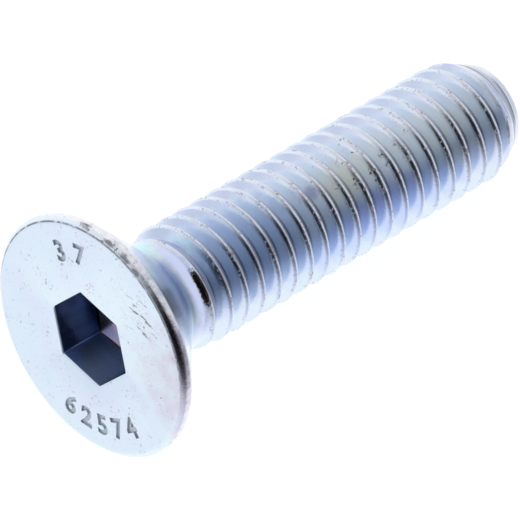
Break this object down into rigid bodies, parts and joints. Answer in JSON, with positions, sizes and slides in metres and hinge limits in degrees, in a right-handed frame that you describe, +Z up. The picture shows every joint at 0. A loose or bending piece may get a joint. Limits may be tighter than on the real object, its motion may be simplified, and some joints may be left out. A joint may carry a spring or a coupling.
{
  "type": "countersunk socket screw",
  "caption": "Fully threaded metric countersunk screw with a hexagon socket, flush flat head and chamfered point, bright zinc-plated steel.",
  "frame": {"origin": "on the level surface that the screw lies on, under the middle of its length as it lies", "axes": "+X runs along the lying screw from the head towards the point, and +Z is up; the screw's own axis dips 7.2 degrees towards the point, because it rests on the rim of its head and on a thread crest near the point"},
  "size_m": [0.0258, 0.0116, 0.0115],
  "materials": {
    "zinc_plated_steel": "bright zinc plate with a blue passivation"
  },
  "bodies": {
    "root": {"countersunk_screw": "zinc_plated_steel"}
  },
  "joints": []
}
